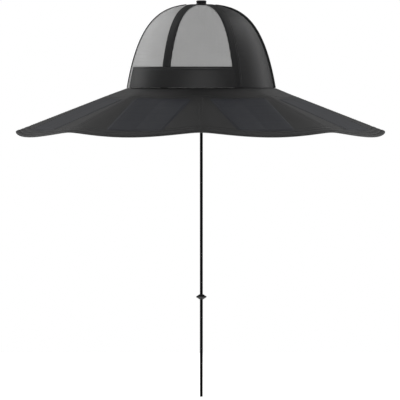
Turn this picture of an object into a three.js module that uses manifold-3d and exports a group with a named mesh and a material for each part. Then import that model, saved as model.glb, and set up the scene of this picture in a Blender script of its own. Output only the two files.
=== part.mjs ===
// A wide-brimmed sun hat with thin solar panels on its brim, held up by a slim pole in two lengths.
// Millimetres, +Z up. The origin is the middle of the pole's flat lower end, and +X is the hat's front.
import * as THREE from "three";
import { mergeVertices } from "three/addons/utils/BufferGeometryUtils.js";
import Module from "manifold-3d";

const wasm = await Module();
wasm.setup();

// Driving dimensions, in millimetres and degrees
const GAP = 0.3; // between pieces that touch on the real thing

const CROWN_BASE_Z = 426; // height of the seam between crown and brim
const CROWN_HEIGHT = 115.9;
const CROWN_RADIUS = 102.4; // half the crown's length at its base
const WIDTH_SHARE = 0.845; // the crown's width over its length
const TIP_HANDLE = 49.6; // how far the tip's tangent pulls the profile outwards
const SHOULDER_RADIUS = 84.7; // the profile's handle at the shoulder, from the axis
const SHOULDER_HEIGHT = 105; // and above the crown's base
const CLOTH_WALL = 1.6;
const NET_WALL = 1.2;
const CAP_RADIUS = 22; // round patch under the button
const CAP_WALL = 2;
const CAP_CLEARANCE = 0.7; // round the patch, where the tapes' straight ends cut its round edge close
const TAPE_WIDTH = 12;
const TAPE_PROUD = 0.8;
const FRONT_TAPE_WIDTH = 40; // the strip down the middle of the front
const FRONT_TAPE_SPREAD = 30; // it narrows near the tip to this angle each way
const FRONT_TAPE_PROUD = 0.5;
const TAPE_RAMP = 0.004; // share of the profile over which a tape sinks to lie under the band
const SEAM_STEP = 60; // six panels round the crown
const FRONT_SEAM = 60; // the cloth front reaches this far each way
const BAND_HEIGHT = 29;
const BAND_WALL = 1.4;
const BAND_END = 163; // each band stops here, short of the middle of the back
const BUTTON_HEIGHT = 5;
const BUTTON_RADIUS = 7;

const BRIM_REACH = 147.2; // cloth, in plan, beyond the crown
const BRIM_DROP = 57.4; // along a ridge, from the crown to the cloth's edge
const BRIM_DIP = 6.5; // how far the edge hangs lower midway between two ridges
const BRIM_SHIFT = 1.2; // how far the brim outside its ring is set back
const BRIM_WALL = 2;
const BRIM_LIP = 2.2; // flat edge inside the crown's foot, which carries the crown
const RIDGES = 8;
const RIDGE_SOFTNESS = 0.2; // rounds the ridges: 0 would crease them
const RING_SHARE = 0.17; // plain ring next to the crown, as a share of the reach
const BINDING_WIDTH = 5;
const BINDING_HEIGHT = 3;
const PANEL_WIDTH = 84;
const PANEL_LENGTH = 106; // in plan
const PANEL_WALL = 1.4;
const PANEL_START = 29; // from the crown to the panel's inner end, in plan

const POLE_RADIUS = 2;
const POLE_JOINT_Z = 138.6; // where the two lengths meet, inside the lock ring
const LOCK_MIDDLE_Z = 138;
const LOCK_HEIGHT = 6.8;
const LOCK_COLLAR_RADIUS = 3.3;
const LOCK_RIM_RADIUS = 7.1;
const LOCK_RIM_HEIGHT = 1.4;
const LOCK_SHOULDER_HEIGHT = 6;
const HOLDER_TOP_Z = 433;
const HOLDER_WALL = 5;
const HOOP_CLEARANCE = 0.6; // to the crown, whose flats come in a little between their corners
const SPOKE_WIDTH = 7;
const HUB_RADIUS = 8;
const HUB_HEIGHT = 14;
const SOCKET_ROOF = 2;

const radians = THREE.MathUtils.degToRad;
const CROWN_TOP_Z = CROWN_BASE_Z + CROWN_HEIGHT;
const BAND_TOP_Z = CROWN_BASE_Z + BAND_HEIGHT;
const CROWN_FOOT_Z = CROWN_BASE_Z + GAP;

// Materials
const crownCloth = new THREE.MeshStandardMaterial({ color: 0x2b2b2c, roughness: 0.8 });
const netYarn = new THREE.MeshStandardMaterial({ color: 0x8f8f8f, roughness: 0.7 });
const seamTape = new THREE.MeshStandardMaterial({ color: 0x242425, roughness: 0.7 });
const brimCloth = new THREE.MeshStandardMaterial({ color: 0x343435, roughness: 0.8 });
const solarLaminate = new THREE.MeshStandardMaterial({ color: 0x26282e, roughness: 0.35 });
const poleEnamel = new THREE.MeshStandardMaterial({ color: 0x1c1c1d, roughness: 0.4, metalness: 0.2 });
const lockPlastic = new THREE.MeshStandardMaterial({ color: 0x2a2a2b, roughness: 0.5 });
const holderPlastic = new THREE.MeshStandardMaterial({ color: 0x303031, roughness: 0.6 });

const hat = new THREE.Group();

function addPiece(name, geometry, material) {
  const mesh = new THREE.Mesh(geometry, material);
  mesh.name = name;
  hat.add(mesh);
  return mesh;
}

// A closed wall between two surfaces. point(column, row, side) gives the outer surface at side 0 and
// the inner one at side 1. Columns run anticlockwise seen from above, rows run down or outwards.
function wall(columns, rows, closed, point) {
  const positions = [];
  const faces = [];
  const width = columns.length;
  for (const side of [0, 1])
    for (const row of rows)
      for (const column of columns) positions.push(...point(column, row, side));
  const at = (c, r, side) => (side * rows.length + r) * width + (c % width);
  const quad = (a, b, c, d) => faces.push(a, b, c, a, c, d);
  const steps = closed ? width : width - 1;
  const last = rows.length - 1;
  for (let c = 0; c < steps; c += 1) {
    for (let r = 0; r < last; r += 1) {
      quad(at(c, r, 0), at(c, r + 1, 0), at(c + 1, r + 1, 0), at(c + 1, r, 0));
      quad(at(c, r, 1), at(c + 1, r, 1), at(c + 1, r + 1, 1), at(c, r + 1, 1));
    }
    quad(at(c, 0, 0), at(c + 1, 0, 0), at(c + 1, 0, 1), at(c, 0, 1));
    quad(at(c + 1, last, 0), at(c, last, 0), at(c, last, 1), at(c + 1, last, 1));
  }
  for (let r = 0; r < last && !closed; r += 1) {
    quad(at(0, r + 1, 0), at(0, r, 0), at(0, r, 1), at(0, r + 1, 1));
    quad(at(steps, r, 0), at(steps, r + 1, 0), at(steps, r + 1, 1), at(steps, r, 1));
  }
  const geometry = new THREE.BufferGeometry();
  geometry.setAttribute("position", new THREE.Float32BufferAttribute(positions, 3));
  geometry.setIndex(faces);
  geometry.computeVertexNormals();
  return geometry;
}

// Evenly spaced numbers from first to last
function steps(first, last, count) {
  return Array.from({ length: count + 1 }, (_, i) => first + ((last - first) * i) / count);
}

// A full turn in even steps, without the repeated last one
function turn(count) {
  return steps(0, 2 * Math.PI, count).slice(0, count);
}

// The crown's profile: a cubic curve from the tip (share 0) down to the base (share 1), flat at the tip
const crownCurve = new THREE.CubicBezierCurve(
  new THREE.Vector2(0, CROWN_TOP_Z),
  new THREE.Vector2(TIP_HANDLE, CROWN_TOP_Z),
  new THREE.Vector2(SHOULDER_RADIUS, CROWN_BASE_Z + SHOULDER_HEIGHT),
  new THREE.Vector2(CROWN_RADIUS, CROWN_BASE_Z),
);

// The share of the crown's profile at which a measure that grows down the profile reaches a value
function shareWhere(measure, value) {
  let low = 0;
  let high = 1;
  for (let i = 0; i < 40; i += 1) {
    const middle = (low + high) / 2;
    if (measure(crownCurve.getPoint(middle)) < value) low = middle;
    else high = middle;
  }
  return (low + high) / 2;
}
const shareAtRadius = (radius) => shareWhere((p) => p.x, radius);
const shareAtHeight = (z) => shareWhere((p) => -p.y, -z);

// A point of the crown: an ellipse in plan, moved out along the profile's normal by offset
function crownPoint(angle, share, offset) {
  const p = crownCurve.getPoint(share);
  const tangent = crownCurve.getTangent(share);
  const out = -tangent.y * offset;
  return [
    (p.x + out) * Math.cos(angle),
    (p.x * WIDTH_SHARE + out) * Math.sin(angle),
    p.y + tangent.x * offset,
  ];
}

// The angle that a width measured round the crown takes up, at a seam and a share of the profile
function angleOf(width, angle, share) {
  const radius = crownCurve.getPoint(share).x;
  return width / (radius * Math.hypot(Math.sin(angle), WIDTH_SHARE * Math.cos(angle)));
}

const CAP_EDGE = shareAtRadius(CAP_RADIUS + CAP_CLEARANCE);
const BAND_EDGE = shareAtHeight(BAND_TOP_Z);
const FOOT_EDGE = shareAtHeight(CROWN_FOOT_Z);

// The angle that half the tape at a seam takes up, at a share of the profile
function tapeSpread(seam, share) {
  const half = (seam % 360 === 0 ? FRONT_TAPE_WIDTH : TAPE_WIDTH) / 2;
  return Math.min(angleOf(half, radians(seam), share), radians(FRONT_TAPE_SPREAD));
}

// One crown panel, from the tape at one seam to the tape at the next
function crownPanel(firstSeam, thickness) {
  const lastSeam = firstSeam + SEAM_STEP;
  const from = radians(firstSeam);
  const to = radians(lastSeam);
  return wall(steps(0, 1, 7), steps(CAP_EDGE, FOOT_EDGE, 11), false, (column, share, side) => {
    const first = from + tapeSpread(firstSeam, share) + angleOf(GAP, from, share);
    const last = to - tapeSpread(lastSeam, share) - angleOf(GAP, to, share);
    return crownPoint(first + (last - first) * column, share, -thickness * side);
  });
}

// A seam's tape, which stands proud of the panels down to the band, or to the brim where there is no band
function crownTape(seam, underBand) {
  const middle = radians(seam);
  const height = seam === 0 ? FRONT_TAPE_PROUD : TAPE_PROUD;
  const columns = seam === 0 ? steps(-1, 1, 4) : [-1, 0, 1];
  const rows = [...steps(CAP_EDGE, BAND_EDGE - TAPE_RAMP, 10), ...steps(BAND_EDGE, FOOT_EDGE, 2)];
  return wall(columns, rows, false, (column, share, side) => {
    const proud = underBand && share >= BAND_EDGE ? 0 : height;
    const half = tapeSpread(seam, share);
    return crownPoint(middle + half * column, share, side ? -CLOTH_WALL : proud);
  });
}

// The cloth band round one side, lying on the net from the front seam to short of the back
function crownBand(sign) {
  const start = radians(FRONT_SEAM);
  const end = radians(BAND_END);
  const rows = steps(BAND_EDGE, FOOT_EDGE, 2);
  const columns = sign > 0 ? steps(0, 1, 12) : steps(1, 0, 12);
  return wall(columns, rows, false, (column, share, side) => {
    const first = start + angleOf(TAPE_WIDTH / 2 + GAP, start, share);
    const offset = GAP + BAND_WALL * (1 - side);
    return crownPoint(sign * (first + (end - first) * column), share, offset);
  });
}

// A lathed solid from pairs of radius and height that start and end on the axis or close on themselves
function turned(pairs, sides) {
  const points = pairs.map(([radius, z]) => new THREE.Vector2(radius, z));
  return new THREE.LatheGeometry(points, sides).rotateX(Math.PI / 2);
}

// The round patch at the crown's tip, following the profile above and below
function crownCap() {
  const shares = steps(0, shareAtRadius(CAP_RADIUS), 5);
  const top = shares.map((share) => crownCurve.getPoint(share)).map((p) => [p.x, p.y]);
  const under = top.map(([radius, z]) => [radius, z - CAP_WALL]);
  return turned([...under, ...top.reverse()], 36).scale(1, WIDTH_SHARE, 1);
}

// The covered button: a flared foot, a slight waist and a domed top
const buttonSections = [
  { radiusShare: 0, heightShare: 0 },
  { radiusShare: 1.03, heightShare: 0 },
  { radiusShare: 0.93, heightShare: 0.25 },
  { radiusShare: 1, heightShare: 0.55 },
  { radiusShare: 0.99, heightShare: 0.78 },
  { radiusShare: 0.88, heightShare: 0.94 },
  { radiusShare: 0, heightShare: 1 },
];

function button() {
  const foot = CROWN_TOP_Z + GAP;
  const outline = buttonSections.map((section) => [
    BUTTON_RADIUS * section.radiusShare,
    foot + BUTTON_HEIGHT * section.heightShare,
  ]);
  return turned(outline, 24);
}

// How far the brim hangs below its ridges: nothing on a ridge, and 1 midway between two of them
function sagBetweenRidges(angle) {
  const wave = Math.hypot(Math.sin((RIDGES / 2) * angle), RIDGE_SOFTNESS);
  return (wave - RIDGE_SOFTNESS) / (Math.hypot(1, RIDGE_SOFTNESS) - RIDGE_SOFTNESS);
}

// How far the brim is set back at a share of its reach: nothing at the crown, all of it past the ring
function setBack(share) {
  return BRIM_SHIFT * THREE.MathUtils.smoothstep(share, 0, RING_SHARE);
}

// A point of the brim's upper side: ellipses in plan that grow evenly from the crown (share 0) to the
// cloth's edge (share 1), on straight ridges, with flat stretches that hang a little between them
function brimPoint(angle, share, offset) {
  const length = CROWN_RADIUS + BRIM_REACH * share;
  const width = CROWN_RADIUS * WIDTH_SHARE + BRIM_REACH * share;
  const growth = length / (CROWN_RADIUS + BRIM_REACH);
  const fade = THREE.MathUtils.smoothstep(share, 0, RING_SHARE);
  const fall = BRIM_DROP * Math.max(share, 0) + BRIM_DIP * growth * fade * sagBetweenRidges(angle);
  const x = length * Math.cos(angle) - setBack(share);
  return [x, width * Math.sin(angle), CROWN_BASE_Z - fall + offset];
}

function brimCloth3d() {
  const rows = [-BRIM_LIP / BRIM_REACH, 0, RING_SHARE / 2, RING_SHARE, 0.45, 0.72, 1];
  return wall(turn(80), rows, true, (angle, share, side) => brimPoint(angle, share, -BRIM_WALL * side));
}

// The bound hem: a flat ring round the cloth's edge, a little thicker than the cloth
function hemBinding() {
  const rise = (BINDING_HEIGHT - BRIM_WALL) / 2;
  const first = 1 + GAP / BRIM_REACH;
  const rows = [first, first + BINDING_WIDTH / BRIM_REACH];
  return wall(turn(80), rows, true, (angle, share, side) =>
    brimPoint(angle, share, rise - BINDING_HEIGHT * side),
  );
}

// The brim point above a place in plan, found by stepping the share until its ellipse passes there
function brimOver(x, y, offset) {
  let share = 0.5;
  let angle = 0;
  for (let i = 0; i < 12; i += 1) {
    const length = CROWN_RADIUS + BRIM_REACH * share;
    const width = CROWN_RADIUS * WIDTH_SHARE + BRIM_REACH * share;
    const middleX = x + setBack(share);
    angle = Math.atan2(y / width, middleX / length);
    share += ((Math.hypot(middleX / length, y / width) - 1) * length) / BRIM_REACH;
  }
  return [x, y, brimPoint(angle, share, offset)[2]];
}

// One solar panel: a thin rectangle in plan, lying on the brim midway between two ridges
function solarPanel(angle) {
  const inner = new THREE.Vector2(...brimPoint(angle, PANEL_START / BRIM_REACH, 0));
  const outer = new THREE.Vector2(...brimPoint(angle, 1, 0));
  const along = outer.clone().sub(inner).normalize();
  const across = new THREE.Vector2(-along.y, along.x);
  return wall(steps(-0.5, 0.5, 6), steps(0, 1, 5), false, (column, row, side) => {
    const place = inner
      .clone()
      .addScaledVector(along, PANEL_LENGTH * row)
      .addScaledVector(across, PANEL_WIDTH * column);
    return brimOver(place.x, place.y, GAP + PANEL_WALL * (1 - side));
  });
}

function pole(fromZ, toZ) {
  const outline = [
    [0, fromZ],
    [POLE_RADIUS, fromZ],
    [POLE_RADIUS, toZ],
    [0, toZ],
  ];
  return turned(outline, 20);
}

// A geometry as a solid that can be joined or cut
function solid(geometry) {
  const bare = geometry.clone();
  bare.deleteAttribute("normal");
  bare.deleteAttribute("uv");
  const merged = mergeVertices(bare, 1e-4);
  const vertProperties = new Float32Array(merged.getAttribute("position").array);
  const triVerts = new Uint32Array(merged.index.array);
  return new wasm.Manifold(new wasm.Mesh({ numProp: 3, vertProperties, triVerts }));
}

function geometryOf(joined) {
  const mesh = joined.getMesh();
  const geometry = new THREE.BufferGeometry();
  geometry.setAttribute("position", new THREE.Float32BufferAttribute(mesh.vertProperties, 3));
  geometry.setIndex(Array.from(mesh.triVerts));
  geometry.computeVertexNormals();
  return geometry;
}

// An upright prism on a closed outline in plan
function prism(shape, fromZ, toZ) {
  const depth = toZ - fromZ;
  const options = { depth, bevelEnabled: false, curveSegments: 40 };
  return new THREE.ExtrudeGeometry(shape, options).translate(0, 0, fromZ);
}

// The ring that locks the pole's two lengths: a collar with a wide rim that tapers up and down
function lockRing() {
  const bore = POLE_RADIUS + GAP;
  const outline = [
    [bore, -LOCK_HEIGHT / 2],
    [LOCK_COLLAR_RADIUS, -LOCK_HEIGHT / 2],
    [LOCK_COLLAR_RADIUS, -LOCK_SHOULDER_HEIGHT / 2],
    [LOCK_RIM_RADIUS, -LOCK_RIM_HEIGHT / 2],
    [LOCK_RIM_RADIUS, LOCK_RIM_HEIGHT / 2],
    [LOCK_COLLAR_RADIUS, LOCK_SHOULDER_HEIGHT / 2],
    [LOCK_COLLAR_RADIUS, LOCK_HEIGHT / 2],
    [bore, LOCK_HEIGHT / 2],
    [bore, -LOCK_HEIGHT / 2],
  ];
  return turned(outline, 32).translate(0, 0, LOCK_MIDDLE_Z);
}

// The plain holder inside the crown's foot: a hub on the pole, four spokes and a hoop open at the back
function hatHolder() {
  const foot = HOLDER_TOP_Z - HUB_HEIGHT;
  const bore = POLE_RADIUS + GAP;
  const hub = turned(
    [
      [0, HOLDER_TOP_Z - SOCKET_ROOF],
      [bore, HOLDER_TOP_Z - SOCKET_ROOF],
      [bore, foot],
      [HUB_RADIUS, foot],
      [HUB_RADIUS, HOLDER_TOP_Z],
      [0, HOLDER_TOP_Z],
    ],
    28,
  );
  const fit = crownCurve.getPoint(shareAtHeight(HOLDER_TOP_Z)).x;
  const length = fit - CLOTH_WALL - HOOP_CLEARANCE;
  const width = fit * WIDTH_SHARE - CLOTH_WALL - HOOP_CLEARANCE;
  const end = radians(BAND_END);
  const hoop = new THREE.Shape();
  hoop.absellipse(0, 0, length, width, -end, end, false);
  hoop.absellipse(0, 0, length - HOLDER_WALL, width - HOLDER_WALL, end, -end, true);
  let holder = solid(hub).add(solid(prism(hoop, HOLDER_TOP_Z - HOLDER_WALL, HOLDER_TOP_Z)));
  for (const angle of [45, 135, 225, 315].map(radians)) {
    const reach = new THREE.Vector2(length * Math.cos(angle), width * Math.sin(angle));
    const from = (bore + HUB_RADIUS) / 2;
    const to = reach.length() - HOLDER_WALL / 2;
    const spoke = new THREE.BoxGeometry(to - from, SPOKE_WIDTH, HOLDER_WALL)
      .translate((from + to) / 2, 0, HOLDER_TOP_Z - HOLDER_WALL / 2)
      .rotateZ(reach.angle());
    holder = holder.add(solid(spoke));
  }
  return geometryOf(holder);
}

// Crown
const panels = [
  { name: "crown_front_left", seam: 0, thickness: CLOTH_WALL, material: crownCloth },
  { name: "crown_side_net_left", seam: 60, thickness: NET_WALL, material: netYarn },
  { name: "crown_rear_net_left", seam: 120, thickness: NET_WALL, material: netYarn },
  { name: "crown_rear_net_right", seam: 180, thickness: NET_WALL, material: netYarn },
  { name: "crown_side_net_right", seam: 240, thickness: NET_WALL, material: netYarn },
  { name: "crown_front_right", seam: 300, thickness: CLOTH_WALL, material: crownCloth },
];
for (const row of panels) addPiece(row.name, crownPanel(row.seam, row.thickness), row.material);

const tapes = [
  { name: "seam_tape_front", seam: 0, underBand: false },
  { name: "seam_tape_front_left", seam: 60, underBand: false },
  { name: "seam_tape_rear_left", seam: 120, underBand: true },
  { name: "seam_tape_rear", seam: 180, underBand: false },
  { name: "seam_tape_rear_right", seam: 240, underBand: true },
  { name: "seam_tape_front_right", seam: 300, underBand: false },
];
for (const row of tapes) addPiece(row.name, crownTape(row.seam, row.underBand), seamTape);

addPiece("crown_band_left", crownBand(1), crownCloth);
addPiece("crown_band_right", crownBand(-1), crownCloth);
addPiece("crown_cap", crownCap(), crownCloth);
addPiece("crown_button", button(), seamTape);

// Brim
addPiece("brim_cloth", brimCloth3d(), brimCloth);
addPiece("brim_hem_binding", hemBinding(), seamTape);
for (let i = 0; i < RIDGES; i += 1) {
  const middle = ((i + 0.5) * 2 * Math.PI) / RIDGES;
  addPiece(`solar_panel_${i + 1}`, solarPanel(middle), solarLaminate);
}

// Stand
const socketTop = HOLDER_TOP_Z - SOCKET_ROOF;
addPiece("pole_lower", pole(0, POLE_JOINT_Z - GAP / 2), poleEnamel);
addPiece("pole_upper", pole(POLE_JOINT_Z + GAP / 2, socketTop - GAP), poleEnamel);
addPiece("pole_lock_ring", lockRing(), lockPlastic);
addPiece("hat_holder", hatHolder(), holderPlastic);

export default hat;
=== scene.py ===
# The finish of a sun hat with solar panels on its brim, held up on a two-part pole, round its fixed frame.
# Metres, +Z up, +X is the hat's front. Angles run anticlockwise seen from above.
import bpy
import numpy as np
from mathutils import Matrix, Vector


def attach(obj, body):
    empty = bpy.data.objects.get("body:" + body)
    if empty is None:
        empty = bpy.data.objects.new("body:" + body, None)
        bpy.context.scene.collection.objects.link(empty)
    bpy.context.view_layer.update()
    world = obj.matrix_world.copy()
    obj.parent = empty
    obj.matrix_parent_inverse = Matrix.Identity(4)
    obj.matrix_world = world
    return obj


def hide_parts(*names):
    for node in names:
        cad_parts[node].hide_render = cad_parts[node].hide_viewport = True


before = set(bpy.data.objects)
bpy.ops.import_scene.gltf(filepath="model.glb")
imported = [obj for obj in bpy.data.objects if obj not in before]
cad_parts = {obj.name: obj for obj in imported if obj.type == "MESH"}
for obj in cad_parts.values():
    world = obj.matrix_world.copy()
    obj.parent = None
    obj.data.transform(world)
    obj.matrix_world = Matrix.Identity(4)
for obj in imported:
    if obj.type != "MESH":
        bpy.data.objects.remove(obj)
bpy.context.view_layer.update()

MM = 0.001
TURN = 2 * np.pi

# Sizes of the frame that the finish follows
GAP = 0.3 * MM
CROWN_BASE_Z = 426 * MM
CROWN_HEIGHT = 115.9 * MM
CROWN_RADIUS = 102.4 * MM
WIDTH_SHARE = 0.845
TIP_HANDLE = 49.6 * MM
SHOULDER_RADIUS = 84.7 * MM
SHOULDER_HEIGHT = 105 * MM
CLOTH_WALL = 1.6 * MM
CAP_RADIUS = 22 * MM
TAPE_HALF = 6 * MM
TAPE_PROUD = 0.8 * MM
FRONT_TAPE_HALF = 20 * MM
FRONT_TAPE_SPREAD = np.radians(30)
FRONT_TAPE_PROUD = 0.5 * MM
SEAM_STEP = np.radians(60)
BAND_HEIGHT = 29 * MM
BAND_WALL = 1.4 * MM
BAND_END = np.radians(163)
BUTTON_HEIGHT = 5 * MM
BUTTON_RADIUS = 7 * MM
BRIM_REACH = 147.2 * MM
BRIM_DROP = 57.4 * MM
BRIM_DIP = 6.5 * MM
BRIM_SHIFT = 1.2 * MM
BRIM_WALL = 2 * MM
BRIM_LIP = 2.2 * MM
RIDGES = 8
RIDGE_SOFTNESS = 0.2
RING_SHARE = 0.17
BINDING_WIDTH = 5 * MM
BINDING_HEIGHT = 3 * MM
PANEL_WIDTH = 84 * MM
PANEL_LENGTH = 106 * MM
PANEL_START = 29 * MM
POLE_RADIUS = 2 * MM
POLE_JOINT_Z = 138.6 * MM
LOCK_MIDDLE_Z = 138 * MM
LOCK_HEIGHT = 6.8 * MM
LOCK_COLLAR_RADIUS = 3.3 * MM
LOCK_RIM_RADIUS = 7.1 * MM
LOCK_RIM_HEIGHT = 1.4 * MM
LOCK_SHOULDER_HEIGHT = 6 * MM
HOLDER_TOP_Z = 433 * MM
SOCKET_ROOF = 2 * MM

# Sizes of the finish on the crown. TUCK is how far a gore, a band or the binding reaches under or over its
# neighbour, and TAPE_DIVE is the length in which a tape goes down under a band.
TUCK = 0.5 * MM
NET_PITCH = 2 * MM
NET_THREAD_HALF = 0.47 * MM
NET_THREAD_FLAT = 0.11 * MM
NET_WAVE = 0.12 * MM
NET_DEPTH = -0.5 * MM
CLOTH_FULLNESS = 0.5 * MM
CLOTH_FULL_WIDTH = 60 * MM
CLOTH_EDGE_DIP = 0.35 * MM
CLOTH_EDGE_ROUND = 1.2 * MM
PUCKER = 0.12 * MM
PUCKER_PITCH = 8 * MM
PUCKER_REACH = 5 * MM
PUCKER_DRIFT = 1.3
PUCKER_DRIFT_RUN = 17 * MM
PUCKER_BEND = 1.5
PUCKER_BEND_RUN = 4 * MM
TAPE_EDGE_ROUND = 2.4 * MM
TAPE_SQUARENESS = 5
TAPE_GROOVE = 1.9 * MM
TAPE_GROOVE_DEPTH = 0.28 * MM
TAPE_GROOVE_WIDTH = 0.55 * MM
TAPE_DIVE = 1.2 * MM
TAPE_STITCH_SINK = 0.22 * MM
BAND_EDGE_ROUND = 0.8 * MM
BAND_GROOVE = 3.6 * MM
BAND_GROOVE_DEPTH = 0.3 * MM
BAND_WAVER = 0.12 * MM
BAND_WAVER_RUN = 9 * MM
BAND_WAVER_START = 2 * MM
BAND_WAVER_FULL = 16 * MM
CAP_EDGE_ROUND = 1.2 * MM
CAP_GATHERS = 18
CAP_GATHER = 0.1 * MM
BUTTON_GATHERS = 16
BUTTON_GATHER = 0.02

# Sizes of the finish on the brim
RING_GROOVE_DEPTH = 0.25 * MM
HEM_GROOVES = (11.4 * MM, 17.6 * MM)
HEM_GROOVE_DEPTH = 0.25 * MM
HEM_GROOVE_WIDTH = 0.9 * MM
HEM_PILLOW = 0.25 * MM
HEM_EDGE_DIP = 0.5 * MM
HEM_EDGE_ROUND = 1.4 * MM
BINDING_SQUARENESS = 3.2
BINDING_STITCH = 1.5 * MM
BINDING_STITCH_LIFT = 0.2 * MM
RIDGE_START = 0.02 * BRIM_REACH
RIDGE_FADE = 0.03 * BRIM_REACH
RIDGE_STITCH = 2.4 * MM
RIDGE_STITCH_SINK = 0.1 * MM
RIDGE_GROOVE_DEPTH = 0.16 * MM
RIDGE_GROOVE_WIDTH = 0.8 * MM
LAMINATE = 0.35 * MM
LAMINATE_BED = 0.1 * MM
LAMINATE_RISE = GAP + LAMINATE - LAMINATE_BED
LAMINATE_RAMP = 4.8 * MM
CELL_RISE = 0.05 * MM
CELL_BEVEL = 0.7 * MM
CELL_MARGIN = 6 * MM
CELL_GAP = 2 * MM
COLLECTOR_PITCH = 2 * MM
CELLS_ACROSS = 2
CELLS_ALONG = 4
PANEL_CORNER = 6 * MM
PANEL_STITCH = 3 * MM

# Sizes of the thread and of the stand's edges
GROOVE_WIDTH = 0.7 * MM
STITCH_PITCH = 3.4 * MM
STITCH_LENGTH = 2.5 * MM
STITCH_RADIUS = 0.24 * MM
STITCH_SINK = 0.2 * MM
POLE_SOFTNESS = 0.3 * MM
LOCK_SOFTNESS = 0.5 * MM
KNURLS = 36
KNURL_DEPTH = 0.18 * MM


# Meshes

# Points are one point where they round to the same step of MERGE. OFF_GRID keeps whole millimetres away
# from the limit between two steps.
MERGE = 1e-7
OFF_GRID = 0.123
SHARP_EDGE = np.radians(38)
FINE_LINES = 1.6 * MM * np.array([-1, -0.7, -0.45, -0.22, 0, 0.22, 0.45, 0.7, 1])
PLACING_STEPS = 14


def surfaces(points, uv):
    """Quads of many grids of one size: (grids, rows, columns, 3). Down the rows crossed with along the
    columns is the side that faces out."""
    count, rows, columns = points.shape[:3]
    row, column = np.meshgrid(np.arange(rows - 1), np.arange(columns - 1), indexing="ij")
    quad = (row * columns + column).reshape(-1, 1) + np.array([0, columns, columns + 1, 1])
    faces = (np.arange(count)[:, None, None] * rows * columns + quad).reshape(-1, 4)
    return points.reshape(-1, 3), faces, uv.reshape(-1, 2)[faces]


def surface(points, uv):
    """The same for one grid: (rows, columns, 3)."""
    return surfaces(points[None], uv[None])


def shell(outer, inner, uv):
    """A closed wall between two grids: out across the outer one, back across the inner one, with a rim
    at the first and the last row."""
    loop = np.concatenate([outer, inner[:, ::-1], outer[:, :1]], axis=1)
    loop_uv = np.concatenate([uv, uv[:, ::-1], uv[:, :1]], axis=1)
    first = surface(np.stack([inner[0], outer[0]]), np.stack([uv[0], uv[0]]))
    last = surface(np.stack([outer[-1], inner[-1]]), np.stack([uv[-1], uv[-1]]))
    return [surface(loop, loop_uv), first, last]


def ring_shell(outer, inner, uv):
    """A closed wall that runs the whole way round: down the outer grid's rows and back up the inner's."""
    loop = np.concatenate([outer, inner[::-1], outer[:1]])
    return [surface(loop, np.concatenate([uv, uv[::-1], uv[:1]]))]


def sweep(rings, uv):
    """A solid from closed rings along a path, with each end ring drawn together to its middle."""
    first = np.broadcast_to(rings[:1, :-1].mean(axis=1, keepdims=True), rings[:1].shape)
    last = np.broadcast_to(rings[-1:, :-1].mean(axis=1, keepdims=True), rings[-1:].shape)
    return surface(np.concatenate([first, rings, last]), np.concatenate([uv[:1], uv, uv[-1:]]))


def lathe(radii, heights, sides):
    """A solid of revolution about the Z axis: radius and height down the profile, turned once round."""
    angle = np.linspace(0, TURN, sides + 1)
    radius = np.asarray(radii)[:, None]
    height = np.broadcast_to(np.asarray(heights)[:, None], (len(radii), sides + 1))
    points = np.stack([radius * np.cos(angle), radius * np.sin(angle), height], axis=-1)
    run = np.cumsum(np.hypot(np.diff(radii, prepend=radii[0]), np.diff(heights, prepend=heights[0])))
    around = np.max(radii) * angle
    return surface(points, grid_uv(around, run))


def grid_uv(across, down):
    """A flat map in metres: across by down."""
    return np.stack(np.meshgrid(across, down), axis=-1)


def piece(name, made, material, node=None):
    """One mesh object. Points that coincide are merged, so that seams and poles close, and a quad that
    loses a corner by it becomes a triangle."""
    starts = np.cumsum([0] + [len(points) for points, _, _ in made])
    points = np.concatenate([points for points, _, _ in made])
    faces = np.concatenate([faces + start for (_, faces, _), start in zip(made, starts)])
    uv = np.concatenate([uv for _, _, uv in made])
    keys = np.round(points / MERGE + OFF_GRID).astype(np.int64)
    _, first, merged = np.unique(keys, axis=0, return_index=True, return_inverse=True)
    faces = merged.reshape(-1)[faces]
    changes = faces != np.roll(faces, -1, axis=1)
    crossed = (faces[:, 0] == faces[:, 2]) | (faces[:, 1] == faces[:, 3])
    corners = np.where(crossed, 0, changes.sum(axis=1))
    quads = corners == 4
    bent = corners == 3
    triangles = faces[bent][changes[bent]].reshape(-1, 3)
    mesh = bpy.data.meshes.new(name)
    mesh.from_pydata(points[first].tolist(), [], faces[quads].tolist() + triangles.tolist())
    layer = mesh.uv_layers.new(name="Surface")
    corner_uv = np.concatenate([uv[quads].reshape(-1), uv[bent][changes[bent]].reshape(-1)])
    layer.data.foreach_set("uv", corner_uv.astype(np.float32))
    mesh.shade_smooth()
    mesh.set_sharp_from_angle(angle=SHARP_EDGE)
    mesh.materials.append(material)
    made_piece = bpy.data.objects.new(name, mesh)
    bpy.context.collection.objects.link(made_piece)
    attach(made_piece, "root")
    if node:
        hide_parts(node)


def fine_lines(length, count, places):
    """Even lines from 0 to a length, with closer ones on both sides of each place."""
    near = np.asarray(places)[:, None] + FINE_LINES
    lines = np.concatenate([np.linspace(0, length, count), near.reshape(-1)])
    return np.unique(np.round(np.clip(lines, 0, length), 6))


def bunched(even, amount):
    """Even numbers drawn together round each whole one: less a share of a sine that turns once between."""
    return even - amount * np.sin(TURN * even) / TURN


def edge_round(distance, radius):
    """0 at an edge, rising on a quarter circle to 1 at one radius from it."""
    rest = 1 - np.clip(distance / radius, 0, 1)
    return np.sqrt(np.maximum(1 - rest**2, 0))


def groove(distance, place, depth, width=GROOVE_WIDTH):
    """A rounded dip along a line, as a thread pulls it into cloth: the depth times a bell curve."""
    return -depth * np.exp(-(((distance - place) / width) ** 2))


def smooth_step(value, low, high):
    """0 up to low and 1 from high on, with a cubic between that starts and ends level."""
    share = np.clip((value - low) / (high - low), 0, 1)
    return share * share * (3 - 2 * share)


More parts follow.
